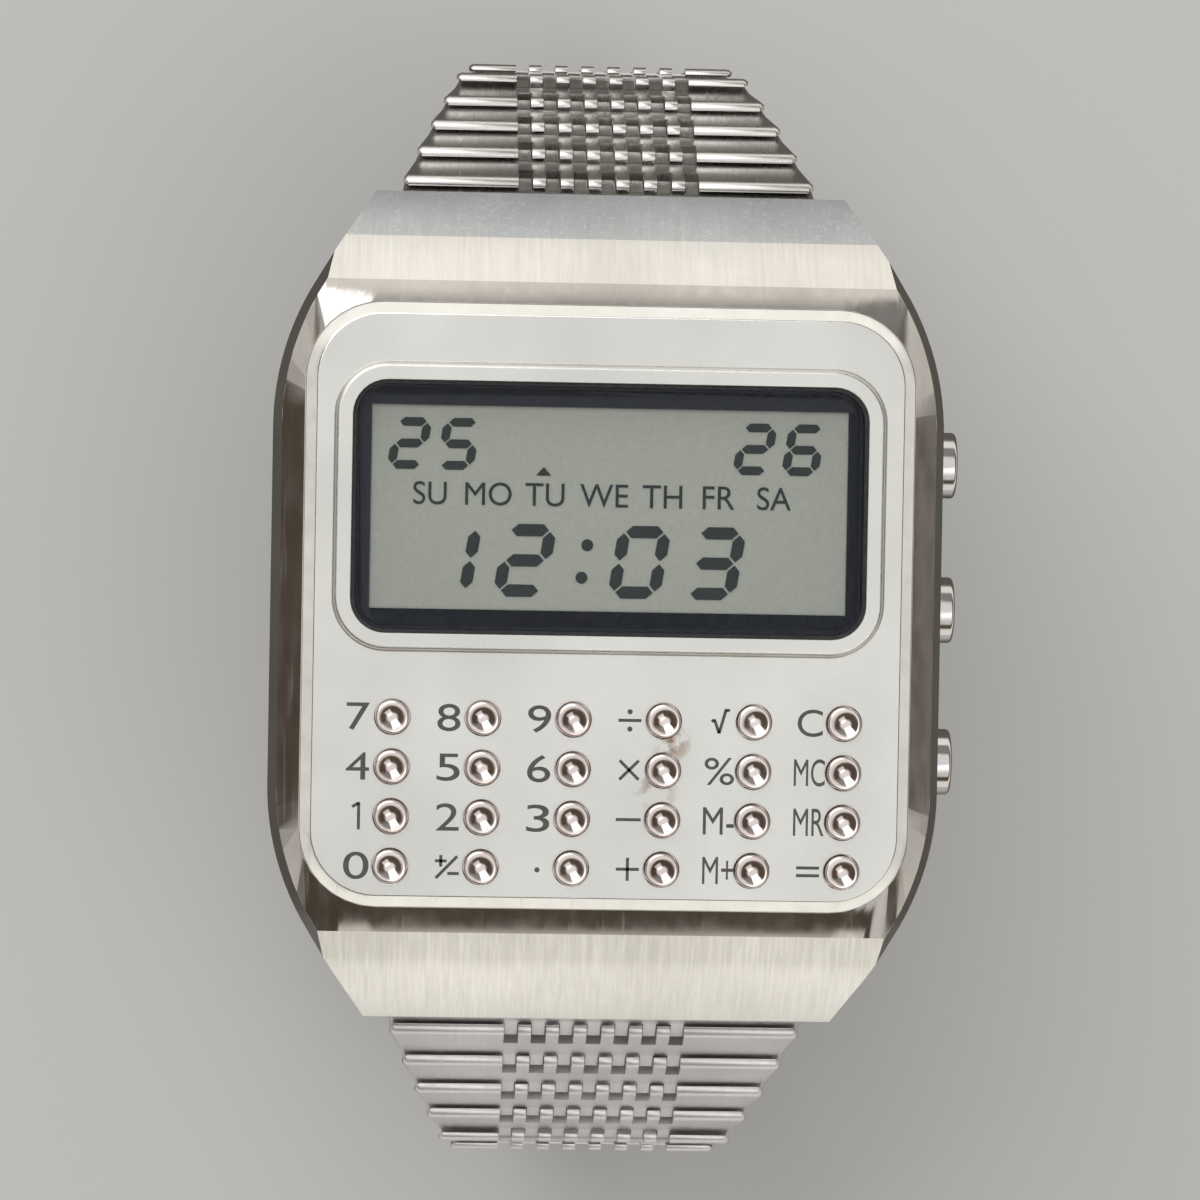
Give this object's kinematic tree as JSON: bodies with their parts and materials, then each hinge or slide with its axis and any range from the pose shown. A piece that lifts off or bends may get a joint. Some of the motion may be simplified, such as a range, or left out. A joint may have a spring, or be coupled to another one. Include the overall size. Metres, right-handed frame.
{
  "type": "calculator watch",
  "caption": "Steel wristwatch with a digital display, a keypad of small round keys, side pushers and a closed bracelet of interlocking links with a folding clasp.",
  "frame": {"origin": "middle of the case back's flat outer face", "axes": "+X towards three o'clock and the pushers, +Y towards twelve o'clock, +Z out of the face"},
  "size_m": [0.0361, 0.0626, 0.0423],
  "materials": {
    "case_steel": "brushed with a warm tint",
    "face_plate_steel": "satin",
    "mineral_glass": "clear",
    "gasket_rubber": "matte",
    "mask_black": "printed",
    "display_glass": "grey-green display",
    "module_plastic": "moulded",
    "board_green": "lacquered board",
    "polished_steel": "polished",
    "key_steel": "polished with a dished top",
    "bracelet_steel": "brushed"
  },
  "bodies": {
    "case": {"case_body": "case_steel", "face_plate": "face_plate_steel", "crystal": "mineral_glass", "crystal_gasket": "gasket_rubber", "display_mask": "mask_black", "lcd_panel": "display_glass", "connector_strips": "gasket_rubber", "key_contact_sheet": "gasket_rubber", "module_frame": "module_plastic", "circuit_board": "board_green", "processor_chip": "module_plastic", "quartz_can": "polished_steel", "button_cells": "polished_steel", "cell_clip": "polished_steel", "back_cover": "case_steel", "back_gasket": "gasket_rubber", "lug_spring_bars": "polished_steel", "pusher_spring_top": "polished_steel", "pusher_spring_middle": "polished_steel", "pusher_spring_bottom": "polished_steel"},
    "upper_1": {"upper_links_1": "bracelet_steel"},
    "upper_2": {"upper_links_2": "bracelet_steel"},
    "upper_3": {"upper_links_3": "bracelet_steel"},
    "upper_4": {"upper_links_4": "bracelet_steel"},
    "lower_1": {"lower_links_1": "bracelet_steel"},
    "lower_2": {"lower_links_2": "bracelet_steel"},
    "lower_3": {"lower_links_3": "bracelet_steel"},
    "lower_4": {"lower_links_4": "bracelet_steel"},
    "clasp_cover_fold": {"clasp_cover": "bracelet_steel"},
    "clasp_middle_fold": {"clasp_middle_blade": "bracelet_steel"},
    "clasp_inner_fold": {"clasp_inner_blade": "bracelet_steel", "clasp_end_bar": "polished_steel"},
    "top_pusher": {"pusher_top": "polished_steel"},
    "middle_pusher": {"pusher_middle": "polished_steel"},
    "bottom_pusher": {"pusher_bottom": "polished_steel"},
    "seven_key": {"key_seven": "key_steel"},
    "eight_key": {"key_eight": "key_steel"},
    "nine_key": {"key_nine": "key_steel"},
    "divide_key": {"key_divide": "key_steel"},
    "root_key": {"key_root": "key_steel"},
    "clear_key": {"key_clear": "key_steel"},
    "four_key": {"key_four": "key_steel"},
    "five_key": {"key_five": "key_steel"},
    "six_key": {"key_six": "key_steel"},
    "multiply_key": {"key_multiply": "key_steel"},
    "percent_key": {"key_percent": "key_steel"},
    "memory_clear_key": {"key_memory_clear": "key_steel"},
    "one_key": {"key_one": "key_steel"},
    "two_key": {"key_two": "key_steel"},
    "three_key": {"key_three": "key_steel"},
    "minus_key": {"key_minus": "key_steel"},
    "memory_minus_key": {"key_memory_minus": "key_steel"},
    "memory_recall_key": {"key_memory_recall": "key_steel"},
    "zero_key": {"key_zero": "key_steel"},
    "sign_key": {"key_sign": "key_steel"},
    "point_key": {"key_point": "key_steel"},
    "plus_key": {"key_plus": "key_steel"},
    "memory_plus_key": {"key_memory_plus": "key_steel"},
    "equals_key": {"key_equals": "key_steel"}
  },
  "joints": [
    {"name": "upper_hinge_1", "type": "hinge", "parent": "case", "child": "upper_1", "pos_m": [0, 0.02035, 0.0025], "axis": [1, 0, 0], "range_deg": [0, 30]},
    {"name": "upper_hinge_2", "type": "hinge", "parent": "upper_1", "child": "upper_2", "pos_m": [0, 0.02572, -0.00546], "axis": [1, 0, 0], "range_deg": [0, 9]},
    {"name": "upper_hinge_3", "type": "hinge", "parent": "upper_2", "child": "upper_3", "pos_m": [0, 0.02963, -0.01415], "axis": [1, 0, 0], "range_deg": [0, 20]},
    {"name": "upper_hinge_4", "type": "hinge", "parent": "upper_3", "child": "upper_4", "pos_m": [0, 0.02771, -0.02338], "axis": [1, 0, 0], "range_deg": [0, 20]},
    {"name": "lower_hinge_1", "type": "hinge", "parent": "case", "child": "lower_1", "pos_m": [0, -0.02035, 0.0025], "axis": [-1, 0, 0], "range_deg": [0, 22]},
    {"name": "lower_hinge_2", "type": "hinge", "parent": "lower_1", "child": "lower_2", "pos_m": [0, -0.02629, -0.00503], "axis": [-1, 0, 0], "range_deg": [0, 10]},
    {"name": "lower_hinge_3", "type": "hinge", "parent": "lower_2", "child": "lower_3", "pos_m": [0, -0.03053, -0.01356], "axis": [-1, 0, 0], "range_deg": [0, 20]},
    {"name": "lower_hinge_4", "type": "hinge", "parent": "lower_3", "child": "lower_4", "pos_m": [0, -0.02881, -0.02283], "axis": [-1, 0, 0], "range_deg": [0, 20]},
    {"name": "clasp_cover_hinge", "type": "hinge", "parent": "lower_4", "child": "clasp_cover_fold", "pos_m": [0, -0.01836, -0.02942], "axis": [-1, 0, 0], "range_deg": [0, 20]},
    {"name": "clasp_middle_hinge", "type": "hinge", "parent": "clasp_cover_fold", "child": "clasp_middle_fold", "pos_m": [0, 0.01259, -0.0307], "axis": [-1, 0, 0], "range_deg": [0, 90]},
    {"name": "clasp_inner_hinge", "type": "hinge", "parent": "clasp_middle_fold", "child": "clasp_inner_fold", "pos_m": [0, -0.01566, -0.02971], "axis": [1, 0, 0], "range_deg": [0, 60]},
    {"name": "top_pusher_press", "type": "slide", "parent": "case", "child": "top_pusher", "axis": [-1, 0, 0], "range_m": [0, 0.0006], "stiffness_N_per_m": 400, "springref_m": -0.0004, "deforming": ["pusher_spring_top"]},
    {"name": "middle_pusher_press", "type": "slide", "parent": "case", "child": "middle_pusher", "axis": [-1, 0, 0], "range_m": [0, 0.0006], "stiffness_N_per_m": 400, "springref_m": -0.0004, "deforming": ["pusher_spring_middle"]},
    {"name": "bottom_pusher_press", "type": "slide", "parent": "case", "child": "bottom_pusher", "axis": [-1, 0, 0], "range_m": [0, 0.0006], "stiffness_N_per_m": 400, "springref_m": -0.0004, "deforming": ["pusher_spring_bottom"]},
    {"name": "seven_key_press", "type": "slide", "parent": "case", "child": "seven_key", "axis": [0, 0, -1], "range_m": [0, 0.00028], "stiffness_N_per_m": 600, "springref_m": -0.0003},
    {"name": "eight_key_press", "type": "slide", "parent": "case", "child": "eight_key", "axis": [0, 0, -1], "range_m": [0, 0.00028], "stiffness_N_per_m": 600, "springref_m": -0.0003},
    {"name": "nine_key_press", "type": "slide", "parent": "case", "child": "nine_key", "axis": [0, 0, -1], "range_m": [0, 0.00028], "stiffness_N_per_m": 600, "springref_m": -0.0003},
    {"name": "divide_key_press", "type": "slide", "parent": "case", "child": "divide_key", "axis": [0, 0, -1], "range_m": [0, 0.00028], "stiffness_N_per_m": 600, "springref_m": -0.0003},
    {"name": "root_key_press", "type": "slide", "parent": "case", "child": "root_key", "axis": [0, 0, -1], "range_m": [0, 0.00028], "stiffness_N_per_m": 600, "springref_m": -0.0003},
    {"name": "clear_key_press", "type": "slide", "parent": "case", "child": "clear_key", "axis": [0, 0, -1], "range_m": [0, 0.00028], "stiffness_N_per_m": 600, "springref_m": -0.0003},
    {"name": "four_key_press", "type": "slide", "parent": "case", "child": "four_key", "axis": [0, 0, -1], "range_m": [0, 0.00028], "stiffness_N_per_m": 600, "springref_m": -0.0003},
    {"name": "five_key_press", "type": "slide", "parent": "case", "child": "five_key", "axis": [0, 0, -1], "range_m": [0, 0.00028], "stiffness_N_per_m": 600, "springref_m": -0.0003},
    {"name": "six_key_press", "type": "slide", "parent": "case", "child": "six_key", "axis": [0, 0, -1], "range_m": [0, 0.00028], "stiffness_N_per_m": 600, "springref_m": -0.0003},
    {"name": "multiply_key_press", "type": "slide", "parent": "case", "child": "multiply_key", "axis": [0, 0, -1], "range_m": [0, 0.00028], "stiffness_N_per_m": 600, "springref_m": -0.0003},
    {"name": "percent_key_press", "type": "slide", "parent": "case", "child": "percent_key", "axis": [0, 0, -1], "range_m": [0, 0.00028], "stiffness_N_per_m": 600, "springref_m": -0.0003},
    {"name": "memory_clear_key_press", "type": "slide", "parent": "case", "child": "memory_clear_key", "axis": [0, 0, -1], "range_m": [0, 0.00028], "stiffness_N_per_m": 600, "springref_m": -0.0003},
    {"name": "one_key_press", "type": "slide", "parent": "case", "child": "one_key", "axis": [0, 0, -1], "range_m": [0, 0.00028], "stiffness_N_per_m": 600, "springref_m": -0.0003},
    {"name": "two_key_press", "type": "slide", "parent": "case", "child": "two_key", "axis": [0, 0, -1], "range_m": [0, 0.00028], "stiffness_N_per_m": 600, "springref_m": -0.0003},
    {"name": "three_key_press", "type": "slide", "parent": "case", "child": "three_key", "axis": [0, 0, -1], "range_m": [0, 0.00028], "stiffness_N_per_m": 600, "springref_m": -0.0003},
    {"name": "minus_key_press", "type": "slide", "parent": "case", "child": "minus_key", "axis": [0, 0, -1], "range_m": [0, 0.00028], "stiffness_N_per_m": 600, "springref_m": -0.0003},
    {"name": "memory_minus_key_press", "type": "slide", "parent": "case", "child": "memory_minus_key", "axis": [0, 0, -1], "range_m": [0, 0.00028], "stiffness_N_per_m": 600, "springref_m": -0.0003},
    {"name": "memory_recall_key_press", "type": "slide", "parent": "case", "child": "memory_recall_key", "axis": [0, 0, -1], "range_m": [0, 0.00028], "stiffness_N_per_m": 600, "springref_m": -0.0003},
    {"name": "zero_key_press", "type": "slide", "parent": "case", "child": "zero_key", "axis": [0, 0, -1], "range_m": [0, 0.00028], "stiffness_N_per_m": 600, "springref_m": -0.0003},
    {"name": "sign_key_press", "type": "slide", "parent": "case", "child": "sign_key", "axis": [0, 0, -1], "range_m": [0, 0.00028], "stiffness_N_per_m": 600, "springref_m": -0.0003},
    {"name": "point_key_press", "type": "slide", "parent": "case", "child": "point_key", "axis": [0, 0, -1], "range_m": [0, 0.00028], "stiffness_N_per_m": 600, "springref_m": -0.0003},
    {"name": "plus_key_press", "type": "slide", "parent": "case", "child": "plus_key", "axis": [0, 0, -1], "range_m": [0, 0.00028], "stiffness_N_per_m": 600, "springref_m": -0.0003},
    {"name": "memory_plus_key_press", "type": "slide", "parent": "case", "child": "memory_plus_key", "axis": [0, 0, -1], "range_m": [0, 0.00028], "stiffness_N_per_m": 600, "springref_m": -0.0003},
    {"name": "equals_key_press", "type": "slide", "parent": "case", "child": "equals_key", "axis": [0, 0, -1], "range_m": [0, 0.00028], "stiffness_N_per_m": 600, "springref_m": -0.0003}
  ]
}
